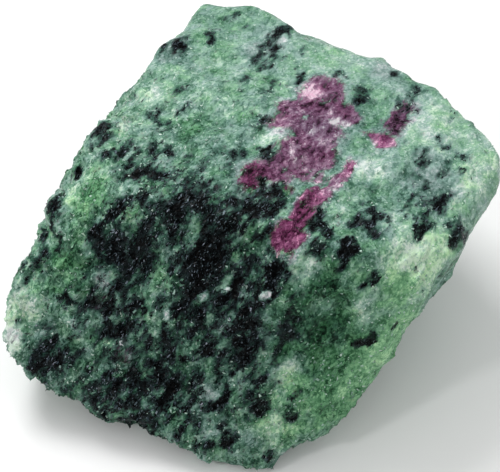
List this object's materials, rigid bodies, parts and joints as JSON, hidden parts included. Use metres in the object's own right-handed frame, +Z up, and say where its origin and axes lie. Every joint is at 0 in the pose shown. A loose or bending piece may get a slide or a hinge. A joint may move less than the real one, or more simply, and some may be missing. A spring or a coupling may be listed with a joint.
{
  "type": "raw ruby-in-zoisite stone",
  "caption": "Broken, unpolished block of granular green zoisite with black hornblende blades and magenta ruby streaks, lying on a flat underside.",
  "frame": {"origin": "on the surface that the stone rests on, under the middle of its box", "axes": "+Z up, +X to the right along the longest side of the box with the dark broken face towards -Y"},
  "size_m": [0.0494, 0.0482, 0.0241],
  "materials": {
    "stone": "rough broken rock, granular and glinting"
  },
  "bodies": {
    "root": {"stone": "stone"}
  },
  "joints": []
}
